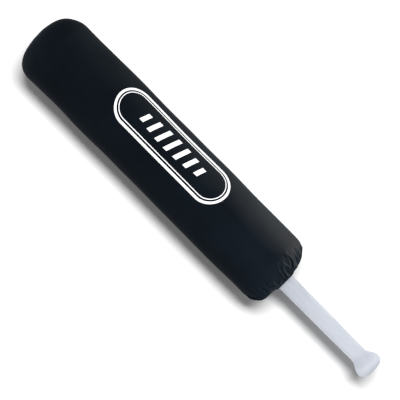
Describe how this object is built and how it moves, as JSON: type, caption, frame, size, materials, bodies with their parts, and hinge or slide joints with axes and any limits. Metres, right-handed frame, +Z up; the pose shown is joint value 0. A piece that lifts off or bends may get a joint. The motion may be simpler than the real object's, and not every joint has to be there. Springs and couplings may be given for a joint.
{
  "type": "padded striking bat",
  "caption": "Padded training bat: bare white plastic handle with a flared knob, thick round foam padding with a rounded tip, in a black sewn cloth cover.",
  "frame": {"origin": "centre of the flat end face of the knob, on the bat's axis", "axes": "+X along the bat from the knob to the padded tip, +Z up with the bat lying on its padding, the print facing +Z and turned 24 degrees towards -Y"},
  "size_m": [0.85, 0.14, 0.1395],
  "materials": {
    "bat_plastic": "satin",
    "firm_foam": "matte",
    "soft_foam": "matte",
    "packing_tape": "gloss",
    "cover_cloth": "satin",
    "binding_cloth": "matte",
    "elastic": "matte",
    "thread": "satin",
    "print_film": "satin"
  },
  "bodies": {
    "root": {"bat_core": "bat_plastic", "barrel_foam_sleeve": "firm_foam", "throat_foam_sleeve": "firm_foam", "foam_tape_bands": "packing_tape", "tip_foam_plug": "firm_foam", "outer_foam_wrap": "soft_foam", "wrap_joint_tape": "packing_tape", "butt_foam_ring": "firm_foam", "tip_foam_dome": "soft_foam", "cover_body": "cover_cloth", "cover_tip_panel": "cover_cloth", "mouth_binding": "binding_cloth", "mouth_elastic": "elastic", "back_seam_thread": "thread", "binding_thread": "thread", "emblem_print": "print_film"}
  },
  "joints": []
}
